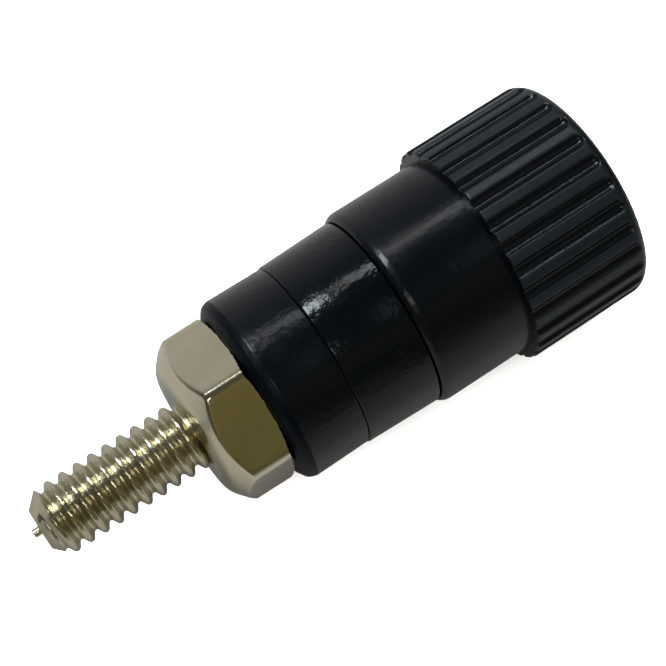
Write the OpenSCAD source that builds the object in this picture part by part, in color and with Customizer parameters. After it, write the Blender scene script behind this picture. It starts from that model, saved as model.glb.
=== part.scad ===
// Insulated panel post with a socket for a round plug in its end.
// The post lies along X: +X points out of the panel, -X to the wiring behind it, +Z is up.
// The origin is on the axis, on the plane where the panel is clamped between the two insulators.

/* [Post] */
// Diameter of the threaded stud behind the panel
stud_d = 4.8; // [4:0.1:5.6]
// Length of stud that stands out behind the nut
stud_free = 11.1; // [7:0.1:16]
// Chamfer on the end of the stud
stud_chamfer = 1.0; // [0.6:0.1:1.2]
// Diameter of the pip that parting off left on the stud's end
pip_d = 0.6; // [0.4:0.1:1]
// Length of that pip
pip_len = 0.5; // [0.3:0.1:0.8]
// Diameter of the threaded barrel that the cap runs on
barrel_d = 7.0; // [6.4:0.1:7.6]
// How far the barrel's end lies below the end of the closed cap
barrel_recess = 0.5; // [0.2:0.1:1.5]
// Chamfer on the end of the barrel
barrel_chamfer = 0.4; // [0.2:0.1:0.6]
// Diameter of the plug socket
socket_d = 4.0; // [3.6:0.1:4.4]
// Countersink at the mouth of the socket
socket_lead = 0.4; // [0.2:0.1:0.7]
// Metal left between the socket's drilled end and the wire hole
socket_floor = 0.5; // [0.3:0.1:1.5]
// Diameter of the cross hole for a bare wire
wire_hole_d = 2.2; // [1.6:0.1:2.6]
// Distance from the flange to the edge of the wire hole
wire_hole_edge = 0.9; // [0.5:0.1:1.5]
// How far the flange stands out around the barrel
flange_ledge = 1.3; // [0.9:0.1:1.7]
// Thickness of the flange
flange_t = 1.6; // [1:0.1:2.4]
// Depth of the two flats that keep the flange from turning
flange_flat = 0.6; // [0.3:0.1:1]

/* [Insulators] */
// Thickness of the front insulator
front_t = 5.3; // [4:0.1:7]
// Diameter of the front insulator at the panel
front_d = 13.2; // [12.6:0.1:15]
// How much the front insulator's radius grows towards the cap
front_flare = 0.15; // [0:0.05:0.4]
// Thickness of the rear insulator
rear_t = 4.85; // [4:0.05:7]
// Diameter of the rear insulator at the panel
rear_d = 13.05; // [12.6:0.05:15]
// How much the rear insulator's radius grows towards the nut
rear_flare = 0.07; // [0:0.01:0.3]
// How far the chamfer at the nut cuts in from the rear insulator's side
rear_chamfer = 0.8; // [0.4:0.1:1.2]
// Length of that chamfer along the axis
rear_chamfer_len = 0.5; // [0.3:0.1:1]
// Wall of the rear insulator that the nut presses on
rear_web = 1.2; // [0.8:0.1:2]
// Wall of the spigot that passes through the panel
spigot_wall = 1.45; // [1:0.05:2]
// Small break on the other moulded edges
edge_break = 0.15; // [0.05:0.05:0.3]

/* [Nut] */
// Width across the flats of the nut
nut_af = 10.7; // [10:0.1:11.4]
// Height of the nut
nut_h = 4.4; // [3.6:0.1:5.5]
// Diameter that the nut's corners are turned down to
nut_round_d = 12.2; // [11.8:0.1:12.3]
// Rounding of the nut's outer end
nut_end_r = 2.6; // [1.2:0.1:3]
// Slope of the chamfer on the nut's inner corners, in degrees
nut_chamfer_angle = 23; // [15:1:35]
// Angle at which the tightened nut comes to rest
nut_rest = 2; // [0:0.5:60]

/* [Cap] */
// Diameter of the smooth skirt
skirt_d = 14.2; // [13.4:0.1:16]
// Length of the smooth skirt
skirt_len = 6.8; // [5.5:0.1:9]
// How far the skirt's lower edge is drawn in
skirt_edge_in = 0.32; // [0.1:0.02:0.5]
// Length over which the skirt's lower edge is drawn in
skirt_edge_len = 0.68; // [0.3:0.02:1]
// How far the fluted grip stands out from the skirt
grip_step = 0.8; // [0.65:0.05:1.2]
// Length of the fluted grip
grip_len = 8.9; // [7:0.1:12]
// Number of flutes round the grip
flute_count = 30; // [24:1:34]
// Diameter of the round bar that each flute follows
flute_d = 1.1; // [0.8:0.05:1.2]
// Depth of each flute
flute_deep = 0.3; // [0.2:0.05:0.4]
// Plain rim between the ends of the flutes and the grip's outer end
rim_band = 0.55; // [0.3:0.05:1]
// Rounding of the grip's outer end
grip_end_r = 0.8; // [0.5:0.05:1]
// Rounding of the grip's edge above the skirt
grip_foot_r = 0.2; // [0.1:0.05:0.6]
// Angle at which the closed cap comes to rest
cap_rest = 4; // [0:0.5:12]
// Countersink at the mouth of the cap
cap_lead = 0.6; // [0.3:0.1:1]

/* [Threaded bush] */
// Wall of the threaded bush inside the cap
bush_wall = 1.2; // [0.9:0.1:1.5]
// Length of the bush
bush_len = 7.5; // [6:0.1:9]
// Width of the groove that holds the bush in the cap
bush_groove_w = 2.0; // [1:0.1:3]
// Depth of that groove
bush_groove_deep = 0.45; // [0.3:0.05:0.6]
// Chamfer at each end of the bush's bore
bush_lead = 0.3; // [0.1:0.1:0.5]

/* [Clearances] */
// Radial play of the nut and the bush on their threads
thread_gap = 0.05; // [0.02:0.01:0.1]
// Radial play of the cap on the bush, and the end play of its rib
bush_gap = 0.05; // [0.02:0.01:0.1]
// Play between the flange and its recess
flange_gap = 0.1; // [0.05:0.05:0.2]
// Radial play of the insulators on the stud and on the spigot
insulator_gap = 0.15; // [0.1:0.05:0.3]
// Space left beyond the end of the spigot
spigot_end_gap = 0.3; // [0.2:0.1:0.6]
// Space between the closed cap and the front insulator
cap_gap = 0.1; // [0.05:0.05:0.3]
// Radial room round the barrel where it passes through the cap's end
passage_gap = 0.2; // [0.1:0.05:0.4]

/* [Hidden] */
$fn = 96;

metal = [0.74, 0.71, 0.64];
plastic = [0.05, 0.055, 0.06];
// Cutters run this far past the face that they open
over = 1;

stud_r = stud_d / 2;
barrel_r = barrel_d / 2;
socket_r = socket_d / 2;
flange_r = barrel_r + flange_ledge;
bush_r = barrel_r + thread_gap + bush_wall;
skirt_r = skirt_d / 2;
grip_r = skirt_r + grip_step;
insulator_bore_r = stud_r + insulator_gap;
spigot_r = insulator_bore_r + spigot_wall;
spigot_len = rear_t - rear_web - spigot_end_gap;

// Places along the axis, from the panel plane
nut_face = -rear_t;
stud_end = nut_face - nut_h - stud_free;
flange_face = front_t;
cap_foot = front_t + cap_gap;
cap_len = skirt_len + grip_len;
barrel_end = cap_foot + cap_len - barrel_recess;
wire_hole_at = flange_face + wire_hole_edge + wire_hole_d / 2;
// A twist drill leaves a cone of 118 degrees at the end of its hole
drill_cone = socket_r / tan(118 / 2);
socket_end = wire_hole_at + wire_hole_d / 2 + socket_floor + drill_cone;

// Turn a piece that is drawn along Z so that it lies along X
module on_axis() {
    rotate([0, 90, 0]) children();
}

// Half section of a disc, with its outer corners rounded by true arcs
module rounded_disc(r, h, foot_r, end_r) {
    difference() {
        square([r, h]);
        translate([r - foot_r, foot_r]) corner_waste(foot_r, -1);
        translate([r - end_r, h - end_r]) corner_waste(end_r, 1);
    }
}

// What a rounding of radius r takes off a square corner, above (side 1) or below (side -1) its centre
module corner_waste(r, side) {
    difference() {
        translate([0, side > 0 ? 0 : -r - over]) square(r + over);
        circle(r);
    }
}

// Two parallel flats across a round flange
module flange_outline(gap) {
    intersection() {
        circle(flange_r + gap);
        square(
            [2 * (flange_r - flange_flat + gap), 2 * (flange_r + gap)],
            center = true
        );
    }
}

// Turned post: stud, flange with flats, and the barrel with its socket and wire hole
module post() {
    color(metal) on_axis() difference() {
        union() {
            rotate_extrude() polygon([
                [0, stud_end - pip_len],
                [pip_d / 2, stud_end - pip_len],
                [pip_d / 2, stud_end],
                [stud_r - stud_chamfer, stud_end],
                [stud_r, stud_end + stud_chamfer],
                [stud_r, flange_face - flange_t / 2],
                [barrel_r, flange_face - flange_t / 2],
                [barrel_r, barrel_end - barrel_chamfer],
                [barrel_r - barrel_chamfer, barrel_end],
                [0, barrel_end]
            ]);
            translate([0, 0, flange_face - flange_t])
                linear_extrude(flange_t) flange_outline(0);
        }
        rotate_extrude() polygon([
            [0, socket_end - drill_cone],
            [socket_r, socket_end],
            [socket_r, barrel_end - socket_lead],
            [socket_r + socket_lead + over, barrel_end + over],
            [0, barrel_end + over]
        ]);
        translate([0, 0, wire_hole_at]) rotate([0, 90, 0])
            cylinder(d = wire_hole_d, h = barrel_d + 2 * over, center = true);
    }
}

// Moulded ring in front of the panel: recess for the flange, spigot through the panel hole
module front_insulator() {
    end_r = front_d / 2 + front_flare;
    color(plastic) on_axis() difference() {
        rotate_extrude() polygon([
            [0, -spigot_len],
            [spigot_r - edge_break, -spigot_len],
            [spigot_r, edge_break - spigot_len],
            [spigot_r, 0],
            [front_d / 2 - edge_break, 0],
            [front_d / 2, edge_break],
            [end_r, front_t - edge_break],
            [end_r - edge_break, front_t],
            [0, front_t]
        ]);
        translate([0, 0, -spigot_len - over])
            cylinder(r = insulator_bore_r, h = spigot_len + front_t + 2 * over);
        translate([0, 0, flange_face - flange_t])
            linear_extrude(flange_t + over) flange_outline(flange_gap);
    }
}

// Moulded ring behind the panel: its recess takes the spigot, its web takes the nut
module rear_insulator() {
    end_r = rear_d / 2 + rear_flare;
    color(plastic) on_axis() difference() {
        rotate_extrude() polygon([
            [0, -rear_t],
            [end_r - rear_chamfer, -rear_t],
            [end_r, rear_chamfer_len - rear_t],
            [rear_d / 2, -edge_break],
            [rear_d / 2 - edge_break, 0],
            [0, 0]
        ]);
        translate([0, 0, -rear_t - over])
            cylinder(r = insulator_bore_r, h = rear_t + 2 * over);
        translate([0, 0, -spigot_len - spigot_end_gap])
            cylinder(r = spigot_r + insulator_gap, h = spigot_len + spigot_end_gap + over);
    }
}

// Half section that the nut is turned to: rounded outer end, chamfered inner corners
module nut_section() {
    round_r = nut_round_d / 2;
    chamfer_rise = (round_r - nut_af / 2) * tan(nut_chamfer_angle);
    difference() {
        square([round_r, nut_h]);
        translate([round_r - nut_end_r, nut_h - nut_end_r]) corner_waste(nut_end_r, 1);
        polygon([[nut_af / 2, 0], [round_r, 0], [round_r, chamfer_rise]]);
    }
}

// Hexagon nut that clamps the insulators against the panel
module nut() {
    color(metal) on_axis() translate([0, 0, nut_face]) mirror([0, 0, 1]) difference() {
        intersection() {
            rotate(nut_rest) cylinder(r = nut_af / 2 / cos(30), h = nut_h, $fn = 6);
            rotate_extrude() nut_section();
        }
        translate([0, 0, -over]) cylinder(r = stud_r + thread_gap, h = nut_h + 2 * over);
    }
}

// Brass bush with the cap's thread, held in the cap by the groove round its middle
module bush() {
    bore_r = barrel_r + thread_gap;
    groove_foot = (bush_len - bush_groove_w) / 2;
    color(metal) on_axis() translate([0, 0, flange_face]) rotate_extrude() polygon([
        [bore_r + bush_lead, 0],
        [bush_r, 0],
        [bush_r, groove_foot],
        [bush_r - bush_groove_deep, groove_foot],
        [bush_r - bush_groove_deep, groove_foot + bush_groove_w],
        [bush_r, groove_foot + bush_groove_w],
        [bush_r, bush_len],
        [bore_r + bush_lead, bush_len],
        [bore_r, bush_len - bush_lead],
        [bore_r, bush_lead]
    ]);
}

// Half section of the skirt: a straight wall whose lower edge curves in
module skirt_section() {
    edge_r = (skirt_edge_len * skirt_edge_len + skirt_edge_in * skirt_edge_in) / (2 * skirt_edge_in);
    union() {
        translate([0, skirt_edge_len]) square([skirt_r, skirt_len - skirt_edge_len + grip_foot_r]);
        intersection() {
            square([skirt_r, skirt_edge_len]);
            union() {
                square([skirt_r - edge_r, skirt_edge_len]);
                translate([skirt_r - edge_r, skirt_edge_len]) circle(edge_r);
            }
        }
    }
}

// What is hollow inside the cap: the seat of the bush with its rib, and the way through for the plug
module cap_hollow() {
    seat_end = flange_face + bush_len + bush_gap - cap_foot;
    rib_foot = flange_face + (bush_len - bush_groove_w) / 2 + bush_gap - cap_foot;
    rib_end = rib_foot + bush_groove_w - 2 * bush_gap;
    seat_r = bush_r + bush_gap;
    rib_r = bush_r - bush_groove_deep + bush_gap;
    passage_r = barrel_r + passage_gap;
    polygon([
        [0, -over],
        [seat_r, -over],
        [seat_r, rib_foot],
        [rib_r, rib_foot],
        [rib_r, rib_end],
        [seat_r, rib_end],
        [seat_r, seat_end],
        [passage_r, seat_end],
        [passage_r, cap_len - cap_lead],
        [passage_r + cap_lead + over, cap_len + over],
        [0, cap_len + over]
    ]);
}

// Moulded thumb cap: smooth skirt below, fluted grip above
module cap() {
    color(plastic) on_axis() translate([0, 0, cap_foot]) difference() {
        rotate_extrude() difference() {
            union() {
                skirt_section();
                translate([0, skirt_len])
                    rounded_disc(grip_r, grip_len, grip_foot_r, grip_end_r);
            }
            cap_hollow();
        }
        for (i = [0 : flute_count - 1])
            rotate(cap_rest + (i + 0.5) * 360 / flute_count) flute_cutter();
    }
}

// Round bar that cuts one flute: open above the skirt, with a ball end short of the rim
module flute_cutter() {
    bar_r = flute_d / 2;
    bar_out = bar_r - flute_deep;
    half_width = sqrt(bar_r * bar_r - bar_out * bar_out);
    run = grip_len - rim_band - half_width;
    translate([grip_r + bar_out, 0, skirt_len]) {
        translate([0, 0, -over]) cylinder(r = bar_r, h = run + over, $fn = 32);
        translate([0, 0, run]) sphere(r = bar_r, $fn = 32);
    }
}

post();
front_insulator();
rear_insulator();
nut();
bush();
cap();
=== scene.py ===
# %% [markdown]
# # A panel post with a socket for a round plug
# The post is turned from brass and nickel plated. Two black rings insulate it from the panel, a nut
# clamps them from behind, and a black cap with a fluted grip screws down on a wire from in front.
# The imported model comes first. It is the fixed frame in metres, and no piece of it is moved.

# %% Load the frame
import math
import bmesh
import bpy
from mathutils import Matrix, Vector


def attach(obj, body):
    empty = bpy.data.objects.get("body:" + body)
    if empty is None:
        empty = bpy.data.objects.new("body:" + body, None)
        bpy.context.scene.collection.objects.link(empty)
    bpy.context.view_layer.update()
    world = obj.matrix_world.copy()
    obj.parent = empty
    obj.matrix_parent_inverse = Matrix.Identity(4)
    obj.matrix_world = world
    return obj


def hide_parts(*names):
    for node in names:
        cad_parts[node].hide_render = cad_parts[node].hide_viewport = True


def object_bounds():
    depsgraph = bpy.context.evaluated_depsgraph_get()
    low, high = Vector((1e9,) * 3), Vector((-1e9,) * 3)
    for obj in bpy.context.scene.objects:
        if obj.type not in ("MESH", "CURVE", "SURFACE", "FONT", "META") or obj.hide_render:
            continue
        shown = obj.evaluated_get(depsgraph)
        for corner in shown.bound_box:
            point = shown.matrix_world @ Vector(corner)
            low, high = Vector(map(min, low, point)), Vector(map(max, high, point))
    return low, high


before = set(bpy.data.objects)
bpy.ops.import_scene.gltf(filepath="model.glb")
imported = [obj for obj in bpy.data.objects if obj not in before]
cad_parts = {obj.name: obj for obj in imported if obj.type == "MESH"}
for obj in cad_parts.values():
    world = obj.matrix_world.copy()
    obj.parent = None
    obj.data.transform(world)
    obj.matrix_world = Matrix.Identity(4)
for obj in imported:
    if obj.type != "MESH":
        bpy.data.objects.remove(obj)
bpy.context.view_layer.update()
scene = bpy.context.scene
print("CAD nodes:", sorted(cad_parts))

# %% [markdown]
# ## Picking by place
# By hand a piece is opened in edit mode, and the mouse picks what the next operator acts on. A script
# could pick points by number, but numbers change with every edit, so it tests where each point lies.
# The post is 42 mm long, and bevels and merge distances are easier to read in millimetres. So each
# piece is shaped with one unit as one millimetre, and shrunk to metres about the origin at the end.

# %% Open, pick and close
MM = 0.001
NEAR = 0.0005


def make_active(piece):
    """Selects one piece alone in object mode, so that operators act on it."""
    bpy.ops.object.select_all(action="DESELECT")
    piece.select_set(True)
    bpy.context.view_layer.objects.active = piece


def open_for_editing(piece):
    """Opens one piece alone in edit mode."""
    make_active(piece)
    bpy.ops.object.mode_set(mode="EDIT")


def close():
    """Goes back to object mode, which keeps the edits."""
    bpy.ops.object.mode_set(mode="OBJECT")


def pick_points(piece, test):
    """Selects every point whose place passes the test, and nothing else."""
    bpy.ops.mesh.select_mode(type="VERT")
    bpy.ops.mesh.select_all(action="DESELECT")
    mesh = bmesh.from_edit_mesh(piece.data)
    for vertex in mesh.verts:
        vertex.select = bool(test(vertex.co))
    mesh.select_flush_mode()
    bmesh.update_edit_mesh(piece.data)


print("points within", NEAR, "mm count as one")

# %% [markdown]
# ## A line with soft corners
# Every piece starts as a line: half a section, or an outline. A plane is merged to one vertex, and
# extruding that vertex draws the line, as a pencil would. A tool or a mould leaves corners a little
# round, and a softened edge is what catches the light. The corner of a line is easier to bevel than
# the edge of a finished piece, because nothing else lies near it.

# %% Draw a line and soften its corners
CORNER_SEGMENTS = 3


def draw_line(name, points):
    """Draws a line through the points and leaves it open in edit mode."""
    bpy.ops.object.select_all(action="DESELECT")
    bpy.ops.mesh.primitive_plane_add(size=1)
    piece = bpy.context.object
    piece.name = name
    piece.data.name = name
    bpy.ops.object.mode_set(mode="EDIT")
    bpy.ops.mesh.select_mode(type="VERT")
    bpy.ops.mesh.select_all(action="SELECT")
    bpy.ops.mesh.merge(type="CENTER")
    bpy.ops.transform.translate(value=points[0])
    for here, there in zip(points, points[1:]):
        step = [b - a for a, b in zip(here, there)]
        bpy.ops.mesh.extrude_vertices_move(TRANSFORM_OT_translate={"value": step})
    return piece


def soften_corner(piece, corner, width, segments=CORNER_SEGMENTS):
    """Rounds one corner of a drawn line, starting at this distance from it."""
    pick_points(piece, lambda place: (place - Vector(corner)).length < NEAR)
    bpy.ops.mesh.bevel(offset=width, segments=segments, affect="VERTICES")


print("segments in a soft corner:", CORNER_SEGMENTS)

# %% [markdown]
# ## A lathe
# A lathe makes a round piece from its section, and so does the Spin operator, which sweeps the line
# round X. Stacked cylinders would do for plain steps, but not for cones and soft corners. The seam
# where the sweep meets itself and the poles on the axis are merged, so that the skin is closed.

# %% Spin a section
LATHE_STEPS = 128


def close_skin(piece):
    """Merges points that lie at one place, turns the faces outwards and leaves edit mode."""
    bpy.ops.mesh.select_all(action="SELECT")
    bpy.ops.mesh.remove_doubles(threshold=NEAR)
    bpy.ops.mesh.select_all(action="SELECT")
    bpy.ops.mesh.normals_make_consistent(inside=False)
    close()


def turn(name, section, soft=(), steps=LATHE_STEPS):
    """Turns a piece from half a section of (place along X, radius), with its soft corners."""
    points = [(x, 0, r) for x, r in section]
    piece = draw_line(name, points)
    for number, width in soft:
        soften_corner(piece, points[number], width)
    bpy.ops.mesh.select_all(action="SELECT")
    bpy.ops.mesh.spin(steps=steps, angle=math.tau, center=(0, 0, 0), axis=(1, 0, 0))
    close_skin(piece)
    print(name, "turned, faces:", len(piece.data.polygons))
    return piece


print("steps round a turned piece:", LATHE_STEPS)

# %% [markdown]
# ## Cutting and joining
# The Boolean modifier saws, welds or trims one piece with another. Holes could also be left open in
# the section, but a cross hole or a thread can't be. The tool is thrown away after the cut, as a
# drill is put back in its rack. The saw leaves pairs of points at one place, so the skin is closed
# again after each cut.

# %% Boolean tools
SAW = "EXACT"


def apply_modifier(piece, modifier):
    """Applies one modifier to a piece."""
    make_active(piece)
    bpy.ops.object.modifier_apply(modifier=modifier.name)


def combine(piece, tool, operation):
    """Cuts, joins or intersects a piece with a tool, and removes the tool."""
    modifier = piece.modifiers.new(operation, "BOOLEAN")
    modifier.operation = operation
    modifier.solver = SAW
    modifier.object = tool
    apply_modifier(piece, modifier)
    bpy.data.objects.remove(tool)
    open_for_editing(piece)
    close_skin(piece)
    print(piece.name, "after", operation.lower(), "has faces:", len(piece.data.polygons))


print("Boolean solver:", SAW)

# %% [markdown]
# ## Handing a piece over
# A finished piece is shrunk to metres, which puts it exactly where its CAD node is. It is shaded
# smooth where its faces meet at less than a given angle, so that round walls look round and edges
# stay edges. Then it gets its finish, rides on its body, and stands for its node.

# %% Hand over
SMOOTH_ANGLE = 30


def hand_over(piece, node, body, finish, smooth_angle=SMOOTH_ANGLE):
    """Shrinks a finished piece to metres and gives it its finish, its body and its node."""
    open_for_editing(piece)
    bpy.ops.mesh.select_all(action="SELECT")
    bpy.ops.transform.resize(value=(MM, MM, MM), center_override=(0, 0, 0))
    close()
    bpy.ops.object.shade_smooth_by_angle(angle=math.radians(smooth_angle))
    piece.data.materials.clear()
    piece.data.materials.append(finish)
    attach(piece, body)
    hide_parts(node)
    print(piece.name, "faces:", len(piece.data.polygons))


print("smooth up to", SMOOTH_ANGLE, "degrees")

# %% [markdown]
# ## Wiring nodes
# A finish is a small network of nodes, which is drawn by hand as boxes and lines. In a script, one
# helper adds a node with its settings and its links in one go. Short ones do the steps that come up
# most. Patterns are read in Object coordinates, so they stay on their piece wherever it moves.

# %% Node helpers
def put(tree, kind, links=None, **settings):
    """Adds a node, sets its properties, and links or sets its inputs by name or number."""
    node = tree.nodes.new(kind)
    for name, value in settings.items():
        setattr(node, name, value)
    for socket, source in (links or {}).items():
        if isinstance(source, bpy.types.NodeSocket):
            tree.links.new(source, node.inputs[socket])
        else:
            node.inputs[socket].default_value = source
    return node


def remap(tree, source, low, high, to_low=0.0, to_high=1.0):
    """Spreads a value that lies between low and high over a new range, held inside it."""
    node = put(tree, "ShaderNodeMapRange", {0: source, 1: low, 2: high, 3: to_low, 4: to_high})
    return node.outputs[0]


def maths(tree, operation, a, b):
    """One step of arithmetic between two values."""
    return put(tree, "ShaderNodeMath", {0: a, 1: b}, operation=operation).outputs[0]


def object_place(tree):
    """Where a point of the surface lies on its piece."""
    return put(tree, "ShaderNodeTexCoord").outputs["Object"]


def noise(tree, place, scale, **inputs):
    """A cloudy pattern with values round one half."""
    links = {"Vector": place, "Scale": scale, **inputs}
    return put(tree, "ShaderNodeTexNoise", links).outputs[0]


NOISE_MIDDLE = 0.5
print("noise lies round", NOISE_MIDDLE)

# %% [markdown]
# ## Smears
# Nickel and moulded plastic both get handled, so both carry soft patches from fingers and a cloth. A
# painted image would fit one shape only, and noise fits them all. The patches are a node group: it is
# built once, and every finish sets its own scale and contrast. A group puts out plain values between
# 0 and 1, and the shader stays in the finish itself.

# %% Smears
SMEAR_SPREAD = 0.35


def new_group(name, output, **inputs):
    """An empty shader node group with value inputs and one value output, and its sockets."""
    group = bpy.data.node_groups.new(name, "ShaderNodeTree")
    for socket, default in inputs.items():
        made = group.interface.new_socket(name=socket, in_out="INPUT", socket_type="NodeSocketFloat")
        made.default_value = default
    group.interface.new_socket(name=output, in_out="OUTPUT", socket_type="NodeSocketFloat")
    given = group.nodes.new("NodeGroupInput").outputs
    result = group.nodes.new("NodeGroupOutput").inputs[output]
    return group, given, result


smears, smears_in, smears_out = new_group("smears", "Smear", Scale=300.0, Contrast=0.5)
patches = noise(
    smears,
    object_place(smears),
    smears_in["Scale"],
    Detail=5.0,
    Roughness=0.62,
    Distortion=0.8,
)
spread = maths(smears, "MULTIPLY", smears_in["Contrast"], SMEAR_SPREAD)
clean_below = maths(smears, "SUBTRACT", NOISE_MIDDLE, spread)
full_above = maths(smears, "ADD", NOISE_MIDDLE, spread)
smears.links.new(remap(smears, patches, clean_below, full_above), smears_out)
print("group:", smears.name)

# %% [markdown]
# ## Scratches
# Wear also leaves thin lines that keep to one direction and break off. Each could be modelled as a
# groove, but there are hundreds. The borders between the cells of a Voronoi texture are thin lines
# already: stretched one way they become scratches, and a noise decides where they break off.

# %% Scratches
SCRATCH_TURN = (0.3, 0.5, 0.9)
SCRATCH_STRETCH = (1.0, 0.06, 1.0)
SCRATCH_WIDTH = 0.03
BREAK_SCALE = 420.0
FEW_ABOVE = 0.75
MANY_ABOVE = 0.35

scratches, scratches_in, scratches_out = new_group("scratches", "Scratch", Scale=900.0, Amount=0.5)
scratch_place = object_place(scratches)
stretched = put(
    scratches,
    "ShaderNodeMapping",
    {"Vector": scratch_place, "Rotation": SCRATCH_TURN, "Scale": SCRATCH_STRETCH},
)
cells = put(
    scratches,
    "ShaderNodeTexVoronoi",
    {"Vector": stretched.outputs[0], "Scale": scratches_in["Scale"]},
    feature="DISTANCE_TO_EDGE",
)
thin = remap(scratches, cells.outputs["Distance"], 0.0, SCRATCH_WIDTH, 1.0, 0.0)
where = noise(scratches, scratch_place, BREAK_SCALE, Detail=3.0)
limit = remap(scratches, scratches_in["Amount"], 0.0, 1.0, FEW_ABOVE, MANY_ABOVE)
kept = maths(scratches, "GREATER_THAN", where, limit)
scratches.links.new(maths(scratches, "MULTIPLY", thin, kept), scratches_out)
print("group:", scratches.name)

# %% [markdown]
# ## What every finish has
# A finish is a material with one Principled shader. A mark that only changes colour looks printed on,
# so smears and scratches also go into the roughness and the bump, which change the reflections. What
# is the same all over is set on the shader's own socket.

# %% Finish helpers
BUMP_REACH = 0.0001


def new_finish(name):
    """A material with a plain Principled shader, and its node tree."""
    finish = bpy.data.materials.new(name)
    finish.use_nodes = True
    return finish, finish.node_tree, finish.node_tree.nodes["Principled BSDF"]


def use_group(tree, group, **inputs):
    """Places a shared group in a finish with this finish's own values."""
    return put(tree, "ShaderNodeGroup", inputs, node_tree=group).outputs[0]


def colour_between(tree, shader, share, first, second):
    """Blends the shader's colour from the first tone to the second."""
    tint = put(tree, "ShaderNodeValToRGB", {"Fac": share})
    for stop, tone in zip(tint.color_ramp.elements, (first, second)):
        stop.color = (*tone, 1)
    tree.links.new(tint.outputs["Color"], shader.inputs["Base Color"])


def dull_by(tree, shader, base, marks, amount):
    """Sets the shader's roughness to a base value, with more where the marks are."""
    dull = maths(tree, "ADD", base, maths(tree, "MULTIPLY", marks, amount))
    tree.links.new(dull, shader.inputs["Roughness"])


def bump_by(tree, shader, texture, lines, depth, strength):
    """Bumps the shader's normal by a texture that has the scratches cut into it."""
    height = maths(tree, "SUBTRACT", texture, maths(tree, "MULTIPLY", lines, depth))
    bump = put(
        tree, "ShaderNodeBump", {"Height": height, "Strength": strength, "Distance": BUMP_REACH}
    )
    tree.links.new(bump.outputs[0], shader.inputs["Normal"])


print("bumps are", BUMP_REACH / MM, "mm high at most")

# %% [markdown]
# ## Nickel plate
# The plate is warm nickel over brass: bright, with a little haze in its smears. The nut is polished,
# while the thread is rough from the die, and its ripples break the light into flecks. Each could be
# wired as a material of its own. They differ only in how rough, how rippled and how bright they are,
# so one function makes both.

# %% Nickel plate
NICKEL_CLEAN = (0.65, 0.585, 0.41)
NICKEL_HAZY = (0.80, 0.73, 0.54)
HAZE_DULLS = 0.08
NICKEL_LINES_DULL = 0.12
NICKEL_LINES_DEEP = 0.15


def nickel_finish(name, clean, ripple_scale, ripple, shine):
    """Warm nickel plate.

    clean is its roughness between smears, ripple_scale how fine its ripples are, ripple how strong,
    and shine how much light the metal gives back.
    """
    finish, tree, shader = new_finish(name)
    haze = use_group(tree, smears, Scale=240.0, Contrast=0.9)
    lines = use_group(tree, scratches, Scale=1300.0, Amount=0.25)
    tones = [[part * shine for part in tone] for tone in (NICKEL_CLEAN, NICKEL_HAZY)]
    colour_between(tree, shader, haze, *tones)
    hazy = remap(tree, haze, 0.0, 1.0, clean, clean + HAZE_DULLS)
    dull_by(tree, shader, hazy, lines, NICKEL_LINES_DULL)
    ripples = noise(tree, object_place(tree), ripple_scale, Detail=3.0)
    bump_by(tree, shader, ripples, lines, NICKEL_LINES_DEEP, ripple)
    shader.inputs["Metallic"].default_value = 1.0
    print("finish:", finish.name)
    return finish


smooth_nickel = nickel_finish(
    "smooth_nickel", clean=0.12, ripple_scale=500.0, ripple=0.05, shine=0.8
)
threaded_nickel = nickel_finish(
    "threaded_nickel", clean=0.20, ripple_scale=2600.0, ripple=0.45, shine=0.73
)

# %% [markdown]
# ## Black plastic
# The moulding is black and glossy, and the grain of its mould shows as a fine mottle in the
# highlights. Where it has been rubbed it is duller. Hands have worn the ridges of the grip. A painted
# mask could mark them, but nothing else stands out as far, so the distance from the axis finds them.
# The rear ring's chamfer gets a finish that mirrors less and is rougher, so it stays dark: a painted
# shade for the gap by the nut. One function makes all four finishes, so that they stay the same
# plastic.

# %% Black plastic
BLACK_CLEAN = (0.0002, 0.0007, 0.0011)
BLACK_MARKED = (0.0024, 0.0038, 0.0048)
GRAIN_SCALE = 2400.0
RUBBING_DULLS = 0.14
WEAR_DULLS = 0.12
BLACK_LINES_DEEP = 0.2
WORN_RUN = 0.0001
NOT_WORN = 1.0


def black_finish(name, clean, mottle, gloss=0.26, worn_from=NOT_WORN):
    """Black moulding.

    clean is its roughness where it isn't rubbed, mottle how strong its grain is, gloss how much it
    mirrors, and worn_from the distance from the axis, in metres, beyond which hands have worn it.
    """
    finish, tree, shader = new_finish(name)
    rubbed = use_group(tree, smears, Scale=330.0, Contrast=0.8)
    lines = use_group(tree, scratches, Scale=500.0, Amount=0.2)
    place = object_place(tree)
    across = put(tree, "ShaderNodeVectorMath", {0: place, 1: (0, 1, 1)}, operation="MULTIPLY")
    from_axis = put(tree, "ShaderNodeVectorMath", {0: across.outputs[0]}, operation="LENGTH")
    worn = remap(tree, from_axis.outputs["Value"], worn_from, worn_from + WORN_RUN)
    marks = maths(tree, "MAXIMUM", worn, maths(tree, "MULTIPLY", lines, rubbed))
    colour_between(tree, shader, marks, BLACK_CLEAN, BLACK_MARKED)
    duller = remap(tree, rubbed, 0.0, 1.0, clean, clean + RUBBING_DULLS)
    dull_by(tree, shader, duller, worn, WEAR_DULLS)
    grain = noise(tree, place, GRAIN_SCALE, Detail=3.0, Roughness=0.55)
    bump_by(tree, shader, grain, lines, BLACK_LINES_DEEP, mottle)
    shader.inputs["Specular IOR Level"].default_value = gloss
    print("finish:", finish.name)
    return finish


rear_black = black_finish("rear_black", clean=0.16, mottle=0.32)
front_black = black_finish("front_black", clean=0.07, mottle=0.28)
cap_black = black_finish("cap_black", clean=0.15, mottle=0.21, worn_from=0.00779)
# A painted shade: this finish mirrors little, so the rear ring's chamfer stays dark by the nut.
chamfer_shade_black = black_finish("chamfer_shade_black", clean=0.30, mottle=0.30, gloss=0.08)

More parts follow.
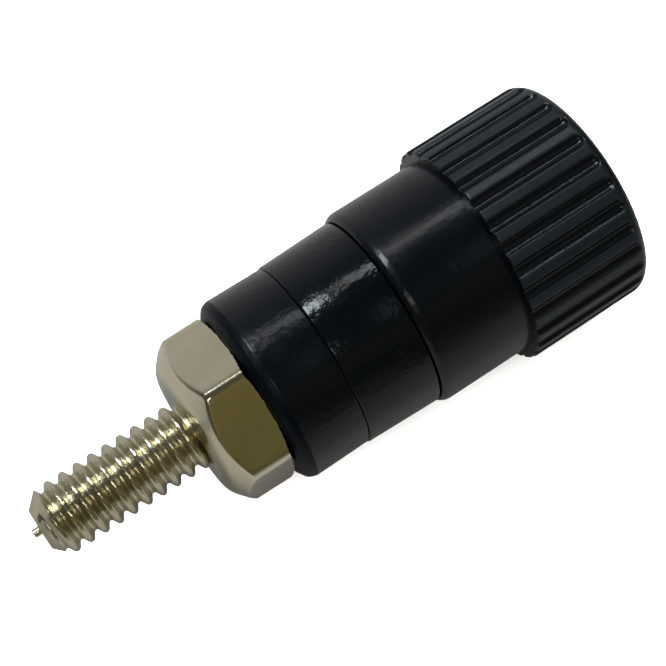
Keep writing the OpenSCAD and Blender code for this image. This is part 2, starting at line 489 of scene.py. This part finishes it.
# %% [markdown]
# ## The outline of a thread
# A die cuts the thread into a turned blank: flanks at 60 degrees to each other, a flat crest and a
# narrow root. A bump in the finish would leave the outline straight, and the outline is what shows
# most on a stud, so the thread is real. One pitch of its outline is enough to wind it from.

# %% One pitch of a thread
CREST_SHARE = 0.28
FLANK_LEAN = math.radians(30)


def thread_outline(start, pitch, crest_r, depth):
    """One pitch of a thread as (place along X, radius), from root to root."""
    crest = pitch * CREST_SHARE
    flank = depth * math.tan(FLANK_LEAN)
    root = (pitch - crest) / 2 - flank
    return [
        (start, crest_r - depth),
        (start + root, crest_r - depth),
        (start + root + flank, crest_r),
        (start + root + flank + crest, crest_r),
        (start + pitch - root, crest_r - depth),
        (start + pitch, crest_r - depth),
    ]


print("crest of a 1 mm pitch:", CREST_SHARE, "mm")

# %% [markdown]
# ## Winding a threaded rod
# Stacked rings would look like a thread, but no nut could turn on them. The Screw modifier turns the
# outline round X and moves it along by one pitch each turn. Both ends of the winding stay open, so
# each open edge is extruded on the spot and merged to a point on the axis. The faces of a winding are
# slightly twisted, and a saw needs flat ones, so they become triangles.

# %% Wind a thread
THREAD_STEPS = 56
ROOT_SOFT = 0.06
CREST_SOFT = 0.13


def close_end(rod, middle, side):
    """Closes the open edge of a winding on one side of its middle."""
    bpy.ops.mesh.select_mode(type="EDGE")
    bpy.ops.mesh.select_all(action="DESELECT")
    mesh = bmesh.from_edit_mesh(rod.data)
    for edge in mesh.edges:
        edge.select = edge.is_boundary and (edge.verts[0].co.x - middle) * side > 0
    bmesh.update_edit_mesh(rod.data)
    bpy.ops.mesh.extrude_edges_move(TRANSFORM_OT_translate={"value": (0, 0, 0)})
    bpy.ops.mesh.merge(type="CENTER")


def wind_thread(name, start, end, pitch, crest_r, depth):
    """Winds a right-hand thread about X as a closed rod."""
    points = [(x, 0, r) for x, r in thread_outline(start, pitch, crest_r, depth)]
    rod = draw_line(name, points)
    for number, width in ((1, ROOT_SOFT), (2, CREST_SOFT), (3, CREST_SOFT), (4, ROOT_SOFT)):
        soften_corner(rod, points[number], width, segments=2)
    close()
    winding = rod.modifiers.new("winding", "SCREW")
    winding.axis = "X"
    winding.angle = math.tau
    winding.screw_offset = pitch
    winding.iterations = math.ceil((end - start) / pitch)
    winding.steps = THREAD_STEPS
    winding.render_steps = THREAD_STEPS
    winding.use_merge_vertices = True
    winding.merge_threshold = NEAR
    apply_modifier(rod, winding)
    open_for_editing(rod)
    bpy.ops.mesh.select_all(action="SELECT")
    bpy.ops.mesh.remove_doubles(threshold=NEAR)
    for side in (-1, 1):
        close_end(rod, (start + end) / 2, side)
    bpy.ops.mesh.select_all(action="SELECT")
    bpy.ops.mesh.quads_convert_to_tris()
    close_skin(rod)
    print(name, "wound, faces:", len(rod.data.polygons))
    return rod


print("steps in a turn of thread:", THREAD_STEPS)

# %% [markdown]
# ## The stud
# The stud behind the panel is threaded all the way, with a steep chamfer and the pip that parting off
# leaves on its end. Both could be shaped on the thread point by point. It is simpler to intersect the
# wound rod with a turned blank that is wider than the thread. That trims it to length and cuts the
# chamfer through the thread, just as it sits on the real stud.

# %% Build the stud
STUD_R = 2.4
STUD_PITCH = 1.058
STUD_DEPTH = 0.5
STUD_END = -20.35
STUD_CHAMFER = 1.0
STUD_CHAMFER_SOFT = 0.08
STUD_THREAD_FROM = STUD_END - 1.65
PIP_R = 0.3
PIP_END = -20.85
PIP_SOFT = 0.12
FLANGE_FROM = 3.7
FLANGE_TO = 5.3
OVERLAP = 0.6
OVER = 1.0

stud_blank = turn(
    "stud_blank",
    [
        (PIP_END, 0),
        (PIP_END, PIP_R),
        (STUD_END, PIP_R),
        (STUD_END, STUD_R - STUD_CHAMFER),
        (STUD_END + STUD_CHAMFER + OVER, STUD_R + OVER),
        (FLANGE_FROM + OVERLAP, STUD_R + OVER),
        (FLANGE_FROM + OVERLAP, 0),
    ],
    soft=((1, PIP_SOFT), (3, STUD_CHAMFER_SOFT)),
)
post = wind_thread("post_turned", STUD_THREAD_FROM, FLANGE_TO, STUD_PITCH, STUD_R, STUD_DEPTH)
combine(post, stud_blank, "INTERSECT")

# %% [markdown]
# ## The flange
# A flange with two flats keeps the post from turning in the front ring. Two blocks could saw the
# flats off a turned disc. Bisecting it twice does the same without a tool, and fills the cuts. The
# front ring's recess is the same disc with a little play all round, so both come from one function
# and always fit.

# %% Disc with two flats
FLANGE_R = 4.8
FLANGE_FLAT = 4.2


def flange_disc(name, start, end, play=0.0):
    """A disc with two flats across Z, larger all round by the play."""
    radius = FLANGE_R + play
    flat = FLANGE_FLAT + play
    disc = turn(name, [(start, 0), (start, radius), (end, radius), (end, 0)], steps=96)
    for side in (-1, 1):
        open_for_editing(disc)
        bpy.ops.mesh.select_all(action="SELECT")
        bpy.ops.mesh.bisect(
            plane_co=(0, 0, side * flat), plane_no=(0, 0, side), use_fill=True, clear_outer=True
        )
        close()
    return disc


combine(post, flange_disc("flange", FLANGE_FROM, FLANGE_TO), "UNION")

# %% [markdown]
# ## The barrel
# The barrel in front of the flange carries the cap on a thread of its own. It is wound and trimmed as
# the stud is. It could stay a mesh of its own, but the post is one turned piece, and one closed skin
# is safer to drill than three that only touch. So it is welded to the flange.

# %% Build the barrel
BARREL_R = 3.5
BARREL_PITCH = 1.0
BARREL_DEPTH = 0.48
BARREL_END = 20.6
BARREL_CHAMFER = 0.4
BARREL_THREAD_FROM = FLANGE_TO - 2.8
BARREL_THREAD_TO = BARREL_END + 2

barrel_blank = turn(
    "barrel_blank",
    [
        (FLANGE_TO - OVERLAP, 0),
        (FLANGE_TO - OVERLAP, BARREL_R + OVER),
        (BARREL_END - BARREL_CHAMFER - OVER, BARREL_R + OVER),
        (BARREL_END, BARREL_R - BARREL_CHAMFER),
        (BARREL_END, 0),
    ],
)
barrel = wind_thread(
    "barrel", BARREL_THREAD_FROM, BARREL_THREAD_TO, BARREL_PITCH, BARREL_R, BARREL_DEPTH
)
combine(barrel, barrel_blank, "INTERSECT")
combine(post, barrel, "UNION")

# %% [markdown]
# ## The socket and the wire hole
# A drill with a pointed tip makes the socket for the plug, and its shoulder leaves the lead at the
# mouth. A cross hole takes a bare wire when the cap is screwed out. The socket could be part of a
# spun section, but the cross hole could not, so both are cut with a tool of the hole's own shape. The
# whole post then gets the rough finish of the threads.

# %% Drill the post
SOCKET_R = 2.0
SOCKET_LEAD = 0.4
SOCKET_END = 10.1
SOCKET_TIP = 8.9
WIRE_HOLE_R = 1.1
WIRE_HOLE_AT = 7.3

socket_drill = turn(
    "socket_drill",
    [
        (SOCKET_TIP, 0),
        (SOCKET_END, SOCKET_R),
        (BARREL_END - SOCKET_LEAD, SOCKET_R),
        (BARREL_END + OVER, SOCKET_R + SOCKET_LEAD + OVER),
        (BARREL_END + OVER, 0),
    ],
    steps=96,
)
combine(post, socket_drill, "DIFFERENCE")
bpy.ops.object.select_all(action="DESELECT")
bpy.ops.mesh.primitive_cylinder_add(
    vertices=64, radius=WIRE_HOLE_R, depth=3 * BARREL_R, location=(WIRE_HOLE_AT, 0, 0)
)
combine(post, bpy.context.object, "DIFFERENCE")
hand_over(post, "post", "post", threaded_nickel, smooth_angle=38)

# %% [markdown]
# ## Outlines round the axis
# The nut and the cap are not round, so neither can be spun. Each starts as one closed outline round X,
# drawn through points whose radius depends on their angle. A stock circle could be pulled into shape
# point by point, but a rule for the radius repeats exactly. Angles count from straight down.

# %% Outlines
def radius_of(point):
    """Distance of a point from the post's axis."""
    return math.hypot(point.y, point.z)


def angle_of(point):
    """Angle of a point round X, from straight down and towards +Y."""
    return math.atan2(point.y, -point.z)


def draw_outline(name, x, angles, radius_at):
    """Draws a closed outline round X and leaves it open in edit mode."""
    points = [(x, radius_at(a) * math.sin(a), -radius_at(a) * math.cos(a)) for a in angles]
    piece = draw_line(name, points + points[:1])
    bpy.ops.mesh.select_all(action="SELECT")
    bpy.ops.mesh.remove_doubles(threshold=NEAR)
    print(piece.name, "points round the outline:", len(bmesh.from_edit_mesh(piece.data).verts))
    return piece


print("straight up lies at", round(math.degrees(angle_of(Vector((0, 0, 1))))), "degrees")

# %% [markdown]
# ## Rings that change their shape
# From its outline a piece grows ring by ring. Each extrusion copies the last ring, and each point of
# the new one is scaled out or in to the radius that its angle needs. Points that need the same scale
# move together, which saves many operator calls. Sculpting would never repeat so evenly.

# %% Rings
SCALE_DIGITS = 5


def pick_numbers(piece, numbers):
    """Selects the points with these numbers and nothing else."""
    bpy.ops.mesh.select_all(action="DESELECT")
    mesh = bmesh.from_edit_mesh(piece.data)
    mesh.verts.ensure_lookup_table()
    for number in numbers:
        mesh.verts[number].select = True
    mesh.select_flush_mode()
    bmesh.update_edit_mesh(piece.data)


def shape_ring(piece, x, radius_at):
    """Moves each point of the selected ring to the radius at its angle, equal moves together."""
    mesh = bmesh.from_edit_mesh(piece.data)
    mesh.verts.index_update()
    moves = {}
    for vertex in mesh.verts:
        if vertex.select:
            scale = radius_at(angle_of(vertex.co)) / radius_of(vertex.co)
            moves.setdefault(round(scale, SCALE_DIGITS), []).append(vertex.index)
    for scale, numbers in moves.items():
        pick_numbers(piece, numbers)
        bpy.ops.transform.resize(value=(1, scale, scale), center_override=(x, 0, 0))
    pick_numbers(piece, [number for numbers in moves.values() for number in numbers])


def extrude_rings(piece, here, stations, radius_at):
    """Extrudes the ring at one place along X through rings of (place, greatest radius)."""
    pick_points(piece, lambda place: abs(place.x - here) < NEAR)
    for x, limit in stations:
        bpy.ops.mesh.extrude_region_move(TRANSFORM_OT_translate={"value": (x - here, 0, 0)})
        shape_ring(piece, x, lambda angle: radius_at(x, limit, angle))
        here = x


print("scales are equal to", SCALE_DIGITS, "digits")

# %% [markdown]
# ## A soft minimum
# Where two surfaces meet, a piece follows the one nearer to the axis. A plain minimum leaves a sharp
# edge there, and a bevel along a bent edge is hard to control. A soft minimum rounds the edge where
# the two are nearly equal, as tumbling or a worn mould does.

# %% Soft minimum
def soft_min(a, b, reach):
    """The smaller of two radii, eased over the edge where they differ by less than the reach."""
    near = max(reach - abs(a - b), 0) / reach
    return min(a, b) - near**2 * reach / 4


print("two walls at 1 mm, eased over 0.2 mm, meet at", round(soft_min(1.0, 1.0, 0.2), 3), "mm")

# %% [markdown]
# ## The nut: its hexagon
# The nut presses the rear ring against the panel. Its corners are rounded, because a sharp edge
# catches no light. A six-sided cylinder with bevelled edges would do for that, but its turned end has
# to meet each flat in a bow. So the hexagon is given as a radius at each angle.

# %% Outline of the nut
NUT_FLAT = 5.35
NUT_ROUND_R = 6.1
NUT_CORNER_SOFT = 0.6
NUT_BLEND = 0.15
NUT_EDGE_BLEND = 0.06
NUT_REST = math.radians(2)
NUT_POINTS = 240
NUT_SHOULDER = -7.4
HALF_SIDE = math.radians(30)


def hexagon_radius(angle):
    """Radius of a hexagon with rounded corners, its corners up and down when it is not turned."""
    from_corner = abs((angle - NUT_REST + HALF_SIDE) % (2 * HALF_SIDE) - HALF_SIDE)
    from_flat = HALF_SIDE - from_corner
    centre = (NUT_FLAT - NUT_CORNER_SOFT) / math.cos(HALF_SIDE)
    if math.tan(from_flat) * NUT_FLAT < (NUT_FLAT - NUT_CORNER_SOFT) * math.tan(HALF_SIDE):
        return NUT_FLAT / math.cos(from_flat)
    across = centre * math.sin(from_corner)
    return centre * math.cos(from_corner) + math.sqrt(NUT_CORNER_SOFT**2 - across**2)


def nut_radius(x, limit, angle):
    """Radius of the nut: the hexagon, eased into the round end and more crisply into the chamfer."""
    reach = NUT_BLEND if x <= NUT_SHOULDER else NUT_EDGE_BLEND
    return soft_min(hexagon_radius(angle), limit, reach)


nut_angles = [math.tau * step / NUT_POINTS for step in range(NUT_POINTS)]
nut = draw_outline(
    "nut_hexagon", NUT_SHOULDER, nut_angles, lambda a: nut_radius(NUT_SHOULDER, NUT_ROUND_R, a)
)

# %% [markdown]
# ## The nut: its two ends
# The outer end is turned to a cone that runs softly into the flat end, and the end towards the ring
# has a small chamfer. Turned cutters could take both off. Here they are rings with a greatest radius:
# where the hexagon is smaller it wins, which leaves the bow on each flat without any cutting.

# %% Ends of the nut
NUT_FACE = -4.85
NUT_H = 4.4
NUT_END = NUT_FACE - NUT_H
NUT_CONE_AT = -8.4
NUT_CONE_ANGLE = math.radians(40)
NUT_CONE_SOFT = 0.5
END_RING_STEP = 0.12
END_RINGS = 24
NUT_CHAMFER_ANGLE = math.radians(23)
CHAMFER_STEPS = 6


def nut_end_place(radius):
    """Place along X of the nut's turned end at a radius: a cone that is eased into the flat end."""
    cone = NUT_CONE_AT + (radius - NUT_FLAT) * math.tan(NUT_CONE_ANGLE)
    return -soft_min(-cone, -NUT_END, NUT_CONE_SOFT)


end_radii = [NUT_ROUND_R - END_RING_STEP * step for step in range(END_RINGS)]
shoulder = [(nut_end_place(radius), radius) for radius in end_radii]
chamfer_in = NUT_ROUND_R - NUT_FLAT
chamfer_run = chamfer_in * math.tan(NUT_CHAMFER_ANGLE)
chamfer = [
    (
        NUT_FACE - chamfer_run * (1 - step / CHAMFER_STEPS),
        NUT_ROUND_R - chamfer_in * step / CHAMFER_STEPS,
    )
    for step in range(CHAMFER_STEPS + 1)
]
for stations in (shoulder, chamfer):
    extrude_rings(nut, NUT_SHOULDER, stations, nut_radius)
    bpy.ops.mesh.edge_face_add()
close_skin(nut)
print("nut closed, faces:", len(nut.data.polygons))

# %% [markdown]
# ## The nut: its thread
# A tap cuts the thread into the nut. A smooth bore would show a gap all round the stud. Here the tap
# is a rod with the stud's own thread, a little larger. It starts where the stud's does, so the two
# threads lie in each other at rest, and the nut follows the stud wherever it is turned.

# %% Tap the nut
THREAD_PLAY = 0.03

tap = wind_thread(
    "tap", STUD_THREAD_FROM, FLANGE_TO, STUD_PITCH, STUD_R + THREAD_PLAY, STUD_DEPTH
)
combine(nut, tap, "DIFFERENCE")
hand_over(nut, "nut", "nut", smooth_nickel, smooth_angle=25)

# %% [markdown]
# ## The rear ring
# The rear ring lies between the panel and the nut, with a recess that takes the front ring's spigot.
# It is a simple moulding. A bored cylinder could be bevelled, but one spun section makes it at once.
# Its broad chamfer towards the nut has two steps. Its faces get the finish that mirrors less, a
# painted shade that keeps them as dark as the shaded gap by the nut.

# %% Rear ring
BORE_R = 2.55
RECESS_R = 4.15
RECESS_END = -3.65
REAR_FACE_R = 5.795
REAR_STEP_R = 6.4
REAR_STEP_LEN = 0.4
REAR_R = 6.58
REAR_JOINT_R = 6.525
CHAMFER_LEN = 0.87
CHAMFER_SHADE_MARGIN = 0.03
RING_STEPS = 192
# Soft corners as (number in the section, width).
REAR_SOFT = ((1, 0.08), (2, 0.12), (3, 0.05), (4, 0.12))

rear_ring = turn(
    "rear_ring",
    [
        (NUT_FACE, BORE_R),
        (NUT_FACE, REAR_FACE_R),
        (NUT_FACE + REAR_STEP_LEN, REAR_STEP_R),
        (NUT_FACE + CHAMFER_LEN, REAR_R),
        (0, REAR_JOINT_R),
        (0, RECESS_R),
        (RECESS_END, RECESS_R),
        (RECESS_END, BORE_R),
        (NUT_FACE, BORE_R),
    ],
    soft=REAR_SOFT,
    steps=RING_STEPS,
)
hand_over(rear_ring, "rear_insulator", "rear_insulator", rear_black)
rear_ring.data.materials.append(chamfer_shade_black)
chamfer_shade_until = (NUT_FACE + CHAMFER_LEN - CHAMFER_SHADE_MARGIN) * MM
# Painted shade: the chamfer's faces take the second, less glossy finish.
for face in rear_ring.data.polygons:
    face.material_index = int(face.center.x < chamfer_shade_until)
print("painted shade faces:", sum(face.material_index for face in rear_ring.data.polygons))

# %% [markdown]
# ## The front ring
# The front ring lies on the panel, and its spigot reaches through it into the rear ring. It is spun
# as well. The recess for the post's flange has two flats, which no spin can give, so a slightly
# larger copy of the flange cuts it.

# %% Front ring
SPIGOT_R = 4.0
SPIGOT_END = -3.35
FRONT_JOINT_R = 6.6
FRONT_R = 6.75
FLANGE_PLAY = 0.1
FRONT_SOFT = ((1, 0.15), (3, 0.14), (4, 0.14))

front_ring = turn(
    "front_ring",
    [
        (SPIGOT_END, BORE_R),
        (SPIGOT_END, SPIGOT_R),
        (0, SPIGOT_R),
        (0, FRONT_JOINT_R),
        (FLANGE_TO, FRONT_R),
        (FLANGE_TO, BORE_R),
        (SPIGOT_END, BORE_R),
    ],
    soft=FRONT_SOFT,
    steps=RING_STEPS,
)
recess_cutter = flange_disc("recess_cutter", FLANGE_FROM, FLANGE_TO + OVER, FLANGE_PLAY)
combine(front_ring, recess_cutter, "DIFFERENCE")
hand_over(front_ring, "front_insulator", "post", front_black)

# %% [markdown]
# ## The cap: the outline of its grip
# Fingers turn the cap by its grip. It has shallow flutes all round, each with a ball end short of the
# rim, as a round-nosed cutter leaves in the mould. Thirty Boolean cuts would be slow and leave
# slivers, so the radius is given at each angle, with more points where a flute meets its ridge.

# %% Outline of the grip
FLUTES = 30
PERIOD = math.tau / FLUTES
FLUTE_R = 0.55
FLUTE_DEEP = 0.3
FLUTE_OUT = FLUTE_R - FLUTE_DEEP
FLUTE_HALF = math.sqrt(FLUTE_R**2 - FLUTE_OUT**2)
FLUTE_PARTS = (0, 0.25, 0.5, 0.7, 0.84, 0.93, 1.0)
RIDGE_PARTS = (0.2, 0.42, 0.7)
RIDGE_SOFT = 0.12
GRIP_R = 7.9
GRIP_FROM = 12.2
GRIP_TO = 21.1
RIM_BAND = 0.55
FLUTE_BALL = GRIP_TO - RIM_BAND - FLUTE_HALF
FOOT_SOFT = 0.2
CAP_REST = math.radians(4)
FLUTE_PHASE = CAP_REST + PERIOD / 2
OUTLINE_AT = GRIP_FROM + FOOT_SOFT


def grip_radius(x, limit, angle):
    """Radius of the fluted grip at a place along X, held inside a greatest radius."""
    turned = (angle - FLUTE_PHASE) / PERIOD
    along = (turned - round(turned)) * PERIOD * GRIP_R
    past = max(x - FLUTE_BALL, 0)
    reach = math.sqrt(max(FLUTE_R**2 - along**2 - past**2, 0))
    return min(soft_min(GRIP_R, GRIP_R + FLUTE_OUT - reach, RIDGE_SOFT), limit)


flute_half = FLUTE_HALF / GRIP_R
ridge_half = PERIOD / 2 - flute_half
half_flute = [flute_half * part for part in FLUTE_PARTS]
half_flute += [flute_half + ridge_half * part for part in RIDGE_PARTS]
one_flute = [-angle for angle in reversed(half_flute[1:])] + half_flute + [PERIOD / 2]
grip_angles = [
    FLUTE_PHASE + number * PERIOD + angle for number in range(FLUTES) for angle in one_flute
]
cap = draw_outline(
    "cap_moulded", OUTLINE_AT, grip_angles, lambda a: grip_radius(OUTLINE_AT, GRIP_R, a)
)

# %% [markdown]
# ## The cap: rim, foot and skirt
# The cap is one moulding, so its rim, foot and skirt are drawn out of the same outline. That lies just
# above the grip's foot. Outwards it closes the ball ends and goes over the rounded rim. Inwards it
# goes over the foot and becomes the smooth skirt with its rounded edge. Modelled apart, the skirt
# would need a weld. Where a ring's greatest radius lies inside the flutes, the ring is round.

# %% Rings outside the cap
RIM_SOFT = 0.8
RIM_FROM = GRIP_TO - RIM_SOFT
BALL_RINGS = 7
RIM_RINGS = 9
FOOT_RINGS = 7
SKIRT_R = 7.1
SKIRT_FROM = 5.4
SKIRT_EDGE_IN = 0.32
SKIRT_EDGE_LEN = 0.68
SKIRT_EDGE_STEPS = 5


def quarter(steps):
    """Evenly spaced angles from just above 0 to a right angle."""
    return [math.radians(90) * step / steps for step in range(1, steps + 1)]


def rim_limit(x):
    """Radius of the rounded rim at a place along X."""
    return GRIP_R - RIM_SOFT + math.sqrt(max(RIM_SOFT**2 - max(x - RIM_FROM, 0) ** 2, 0))


end_places = [FLUTE_BALL] + [FLUTE_BALL + FLUTE_HALF * math.sin(a) for a in quarter(BALL_RINGS)]
end_places += [RIM_FROM + RIM_SOFT * math.sin(a) for a in quarter(RIM_RINGS)]
outer_end = [(x, rim_limit(x)) for x in sorted(end_places)]
foot = [
    (GRIP_FROM + FOOT_SOFT * (1 - math.sin(a)), GRIP_R - FOOT_SOFT * (1 - math.cos(a)))
    for a in quarter(FOOT_RINGS)
]
edge_r = (SKIRT_EDGE_LEN**2 + SKIRT_EDGE_IN**2) / (2 * SKIRT_EDGE_IN)
edge_turn = math.asin(SKIRT_EDGE_LEN / edge_r)
edge_angles = [edge_turn * step / SKIRT_EDGE_STEPS for step in range(SKIRT_EDGE_STEPS + 1)]
edge_from = SKIRT_FROM + SKIRT_EDGE_LEN
skirt_edge = [
    (edge_from - edge_r * math.sin(a), SKIRT_R - edge_r * (1 - math.cos(a))) for a in edge_angles
]
print("rings over rim, foot and skirt's edge:", len(outer_end), len(foot), len(skirt_edge))

# %% [markdown]
# ## The cap: its hollow
# Inside, the bush sits in a seat and is held by a rib. A passage through the outer end lets the
# barrel reach the open air. A hollow could be cut with a Boolean, but the two chains of rings only
# have to go on inside: they meet where the passage begins, and merging them closes the skin.

# %% Hollow of the cap
SEAT_R = 4.8
SEAT_END = 12.85
RIB_R = 4.35
RIB_FROM = 8.1
RIB_TO = 10.0
PASSAGE_R = 3.7
PASSAGE_LEAD = 0.6

way_out = [
    (GRIP_TO, PASSAGE_R + PASSAGE_LEAD),
    (GRIP_TO - PASSAGE_LEAD, PASSAGE_R),
    (SEAT_END, PASSAGE_R),
]
bush_seat = [
    (SKIRT_FROM, SEAT_R),
    (RIB_FROM, SEAT_R),
    (RIB_FROM, RIB_R),
    (RIB_TO, RIB_R),
    (RIB_TO, SEAT_R),
    (SEAT_END, SEAT_R),
    (SEAT_END, PASSAGE_R),
]
extrude_rings(cap, OUTLINE_AT, outer_end + way_out, grip_radius)
extrude_rings(cap, OUTLINE_AT, foot + [(GRIP_FROM, SKIRT_R)] + skirt_edge + bush_seat, grip_radius)
close_skin(cap)
hand_over(cap, "cap", "cap", cap_black, smooth_angle=40)

# %% [markdown]
# ## The bush
# The brass bush carries the cap's thread and sits inside the cap, where no one sees it. It could be
# modelled again, but its CAD solid is already right, so it only gets the finish of the plate.

# %% Finish of the bush
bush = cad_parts["bush"]
bush.data.materials.clear()
bush.data.materials.append(smooth_nickel)
print("bush keeps its solid, finish:", bush.data.materials[0].name)

# %% [markdown]
# ## The floor
# The post lies on a plain pale floor. Eyes see it white. If reflections saw it white too, they would
# fill the black plastic with light, so they see it grey, and darker close to the post, which shades
# it. Two floors could do this, but the Light Path node tells the two kinds of sight apart on one.

# %% Floor
FLOOR_SIZE = 1.2
FLOOR_GAP = 0.00002
FLOOR_ROUGHNESS = 0.9
EYE_WHITE = 1.0
MIRROR_NEAR = 0.08
MIRROR_FAR = 0.155
SHADE_FROM = 0.005
SHADE_TO = 0.012

floor_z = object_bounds()[0][2] - FLOOR_GAP
bpy.ops.object.select_all(action="DESELECT")
bpy.ops.mesh.primitive_plane_add(size=FLOOR_SIZE, location=(0, 0, floor_z))
floor = bpy.context.object
floor.name = "floor"
pale, floor_tree, floor_shader = new_finish("pale_floor")
floor_y = put(floor_tree, "ShaderNodeSeparateXYZ", {0: object_place(floor_tree)}).outputs["Y"]
aside = put(floor_tree, "ShaderNodeMath", {0: floor_y}, operation="ABSOLUTE").outputs[0]
# A painted shadow: reflections see the floor's colour darker close to the post.
mirrored = remap(floor_tree, aside, SHADE_FROM, SHADE_TO, MIRROR_NEAR, MIRROR_FAR)
by_eye = put(floor_tree, "ShaderNodeLightPath").outputs["Is Camera Ray"]
paper = remap(floor_tree, by_eye, 0.0, 1.0, mirrored, EYE_WHITE)
floor_tree.links.new(paper, floor_shader.inputs["Base Color"])
floor_shader.inputs["Roughness"].default_value = FLOOR_ROUGHNESS
floor.data.materials.append(pale)
print("floor at", round(floor_z, 5))

# %% [markdown]
# ## The room
# Black plastic and bright plate show what is around them, so the room matters more than the lamps. It
# changes only from front to back: light low in front, an olive glow where the nut's front flat looks,
# dim overhead, and light along the wall behind. A picture of a room could do this too, but a colour
# ramp needs no file and is easy to adjust. Eyes see the room white.

# %% Room
# Direction from the front (-1) to the back (1), and the colour there.
ROOM = [
    (-1.0, (0.32, 0.31, 0.30)),
    (-0.95, (0.16, 0.15, 0.13)),
    (-0.88, (0.08, 0.07, 0.04)),
    (-0.69, (0.20, 0.175, 0.075)),
    (-0.45, (0.115, 0.105, 0.07)),
    (-0.1, (0.075, 0.072, 0.06)),
    (0.24, (0.07, 0.07, 0.068)),
    (0.58, (0.13, 0.135, 0.14)),
    (0.81, (0.29, 0.295, 0.30)),
    (0.95, (0.50, 0.51, 0.52)),
    (1.0, (0.60, 0.61, 0.62)),
]

room = bpy.data.worlds.new("room")
room.use_nodes = True
scene.world = room
room_tree = room.node_tree
direction = put(room_tree, "ShaderNodeTexCoord").outputs["Generated"]
to_back = put(room_tree, "ShaderNodeSeparateXYZ", {0: direction}).outputs["Y"]
ramp = put(room_tree, "ShaderNodeValToRGB", {"Fac": remap(room_tree, to_back, -1.0, 1.0)})
stops = ramp.color_ramp.elements
while len(stops) < len(ROOM):
    stops.new(0.5)
for stop, (backward, colour) in zip(stops, ROOM):
    stop.position = (backward + 1) / 2
    stop.color = (*colour, 1)
room_by_eye = put(room_tree, "ShaderNodeLightPath").outputs["Is Camera Ray"]
wall = put(
    room_tree, "ShaderNodeMix", {0: room_by_eye, "A": ramp.outputs["Color"]}, data_type="RGBA"
)
wall.inputs["B"].default_value = (EYE_WHITE, EYE_WHITE, EYE_WHITE, 1)
room_tree.links.new(wall.outputs[2], room_tree.nodes["Background"].inputs["Color"])
print("world:", room.name, "with", len(stops), "tones")

# %% [markdown]
# ## The lamps
# Each highlight comes from a soft lamp that stands where the mirrored line of sight of its piece goes:
# one long streak along the post, a patch on the front ring, the grip and the skirt's end, the stud
# from behind, its crests from in front, and a faint sheen low on the skirt. One large lamp would wash
# out the black. The lamps lie with one side along the post, so that their streaks run along it too.
# The floor has a lamp of its own that reflections don't see.

# %% Lamps
LAMP_DISTANCE = 0.45
FLOOR_LAMP_DISTANCE = 0.7
FLOOR_LAMP_TOWARD = Vector((-0.2, 0.15, 1.0))
FLOOR_LAMP_SIZE = (1.3, 1.3)
FLOOR_LAMP_POWER = 30.0
WARM = (1.0, 0.97, 0.90)
COOL = (0.85, 0.95, 1.0)
NEUTRAL = (1.0, 1.0, 1.0)
# Name, direction from the post, size along and across it in metres, power in watts, colour.
LAMPS = [
    ("streak_light", (0.18, 0.53, 0.835), (0.50, 0.020), 0.06, WARM),
    ("ring_light", (0.20, 0.56, 0.805), (0.036, 0.024), 0.038, WARM),
    ("grip_light", (0.41, 0.52, 0.75), (0.14, 0.030), 0.14, COOL),
    ("stud_light", (-0.27, 0.50, 0.835), (0.26, 0.062), 1.4, COOL),
    ("crest_light", (-0.44, -0.33, 0.835), (0.26, 0.026), 0.22, WARM),
    ("skirt_light", (0.33, -0.27, 0.90), (0.036, 0.13), 0.013, COOL),
]


def soft_light(name, toward, distance, size, power, colour, in_gloss=True):
    """A soft lamp that stands off from the post in a direction, faces it and lies along it."""
    light = bpy.data.lights.new(name, "AREA")
    light.shape = "RECTANGLE"
    light.size, light.size_y = size
    light.energy = power
    light.color = colour
    lamp = bpy.data.objects.new(name, light)
    scene.collection.objects.link(lamp)
    lamp.location = toward.normalized() * distance
    along = (Vector((1, 0, 0)) - toward * toward.x / toward.length_squared).normalized()
    turned = Matrix((along, toward.normalized().cross(along), toward.normalized())).transposed()
    lamp.rotation_euler = turned.to_euler()
    lamp.visible_glossy = in_gloss
    print("lamp:", name, power, "W")


for lamp_name, toward, size, power, colour in LAMPS:
    soft_light(lamp_name, Vector(toward), LAMP_DISTANCE, size, power, colour)
soft_light(
    "floor_light",
    FLOOR_LAMP_TOWARD,
    FLOOR_LAMP_DISTANCE,
    FLOOR_LAMP_SIZE,
    FLOOR_LAMP_POWER,
    NEUTRAL,
    in_gloss=False,
)

# %% [markdown]
# ## The camera
# The camera looks down steeply from in front, with the stud at the lower left. It could be moved by
# hand until the view is right. Two angles, a distance and a point to aim at are easier to adjust one
# at a time. A long lens keeps the perspective mild, and the Standard view keeps a white floor white.

# %% Camera
AZIMUTH = math.radians(-34.03)
ELEVATION = math.radians(71.3)
SENSOR = 36.0
LENS = 91.9
EYE_DISTANCE = 110.2
AIM_AT = Vector((4.99, 0, 0))
AIM_LEFT = 2.82
AIM_DOWN = 1.19

right = Vector((math.cos(AZIMUTH), math.sin(AZIMUTH), 0))
back = Vector(
    (
        math.sin(AZIMUTH) * math.cos(ELEVATION),
        -math.cos(AZIMUTH) * math.cos(ELEVATION),
        math.sin(ELEVATION),
    )
)
up = back.cross(right)
aim = AIM_AT - right * AIM_LEFT - up * AIM_DOWN
camera_data = bpy.data.cameras.new("camera")
camera_data.sensor_width = SENSOR
camera_data.lens = LENS
camera = bpy.data.objects.new("camera", camera_data)
scene.collection.objects.link(camera)
camera.location = (aim + back * EYE_DISTANCE) * MM
camera.rotation_euler = back.to_track_quat("Z", "Y").to_euler()
scene.camera = camera
scene.view_settings.view_transform = "Standard"
print("camera at", [round(v, 4) for v in camera.location])
